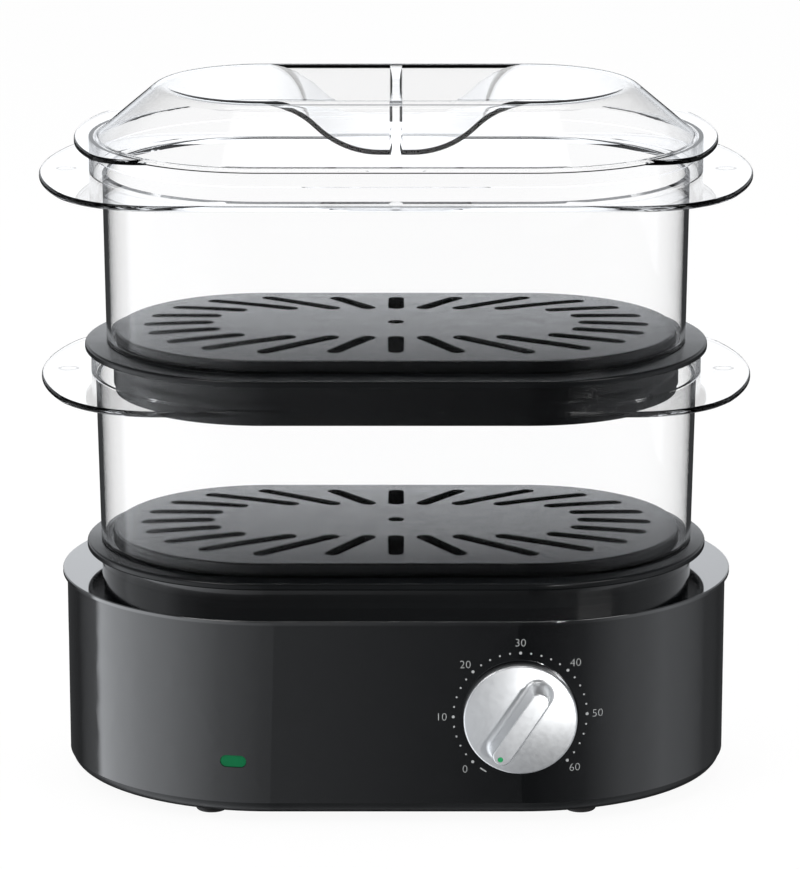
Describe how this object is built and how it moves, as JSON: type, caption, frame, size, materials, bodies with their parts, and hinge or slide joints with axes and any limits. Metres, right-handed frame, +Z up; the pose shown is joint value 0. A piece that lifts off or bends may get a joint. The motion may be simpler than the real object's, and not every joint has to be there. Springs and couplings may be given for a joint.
{
  "type": "electric food steamer",
  "caption": "Electric food steamer: black base with a timer knob and water basin, two slotted trays in clear baskets with end handles, and a clear lid with a recessed grip.",
  "frame": {"origin": "on the floor under the middle of the whole object's bounding box, level with the bottoms of the feet", "axes": "+X along the long side, towards the timer knob's end (the right from the front); +Y from the front with the knob to the back; +Z up"},
  "size_m": [0.36, 0.2361, 0.358],
  "materials": {
    "housing": "glossy black moulding",
    "deck": "glossy black moulding",
    "pan": "satin black moulding",
    "foot_rubber": "soft rubber",
    "screw_steel": "zinc-plated steel",
    "grommet": "soft rubber",
    "heater_dish": "pressed stainless steel",
    "silicone": "silicone rubber",
    "heater_sheath": "dull sheath",
    "clamp_steel": "zinc-plated steel",
    "thermostat_body": "phenolic moulding",
    "fuse_sleeve": "glass-fibre sleeve",
    "timer_body": "natural plastic case",
    "bracket_steel": "zinc-plated steel",
    "bell_steel": "plated steel",
    "shaft_steel": "turned steel",
    "knob_silver": "satin silver paint",
    "ring_black": "glossy black moulding",
    "marker_green": "green dot",
    "lens_green": "translucent green moulding",
    "holder": "natural plastic",
    "lamp_glass": "neon lamp glass",
    "terminal_body": "natural plastic",
    "drip_plastic": "satin black moulding",
    "tray_plastic": "glossy black moulding",
    "clear_plastic": "clear moulding"
  },
  "bodies": {
    "base": {"housing_shell": "housing", "top_deck": "deck", "base_pan": "pan", "rubber_feet": "foot_rubber", "base_screws": "screw_steel", "cord_inlet": "grommet", "heating_plate": "heater_dish", "heater_seal": "silicone", "heater_tube": "heater_sheath", "heater_clamp": "clamp_steel", "clamp_screws": "screw_steel", "thermostat": "thermostat_body", "thermal_fuse": "fuse_sleeve", "timer_case": "timer_body", "timer_bracket": "bracket_steel", "timer_screws": "screw_steel", "timer_bell": "bell_steel", "pilot_lens": "lens_green", "lamp_holder": "holder", "pilot_lamp": "lamp_glass", "terminal_block": "terminal_body", "knob_ring": "ring_black"},
    "timer_knob_body": {"timer_knob": "knob_silver", "timer_shaft": "shaft_steel", "knob_marker": "marker_green"},
    "drip_tray_body": {"drip_tray": "drip_plastic"},
    "lower_tray_body": {"lower_tray": "tray_plastic"},
    "lower_basket_body": {"lower_basket": "clear_plastic"},
    "upper_tray_body": {"upper_tray": "tray_plastic"},
    "upper_basket_body": {"upper_basket": "clear_plastic"},
    "lid_body": {"lid": "clear_plastic"}
  },
  "joints": [
    {"name": "timer_turn", "type": "hinge", "parent": "base", "child": "timer_knob_body", "pos_m": [0.0619, -0.09718, 0.0573], "axis": [0, 0.9995, 0.0321], "range_deg": [0, 281]},
    {"name": "drip_lift", "type": "slide", "parent": "base", "child": "drip_tray_body", "axis": [0, 0, 1], "range_m": [0, 0.05]},
    {"name": "lower_tray_lift", "type": "slide", "parent": "drip_tray_body", "child": "lower_tray_body", "axis": [0, 0, 1], "range_m": [0, 0.05]},
    {"name": "lower_basket_lift", "type": "slide", "parent": "lower_tray_body", "child": "lower_basket_body", "axis": [0, 0, 1], "range_m": [0, 0.04]},
    {"name": "upper_tray_lift", "type": "slide", "parent": "lower_basket_body", "child": "upper_tray_body", "axis": [0, 0, 1], "range_m": [0, 0.05]},
    {"name": "upper_basket_lift", "type": "slide", "parent": "upper_tray_body", "child": "upper_basket_body", "axis": [0, 0, 1], "range_m": [0, 0.04]},
    {"name": "lid_lift", "type": "slide", "parent": "upper_basket_body", "child": "lid_body", "axis": [0, 0, 1], "range_m": [0, 0.12]}
  ]
}
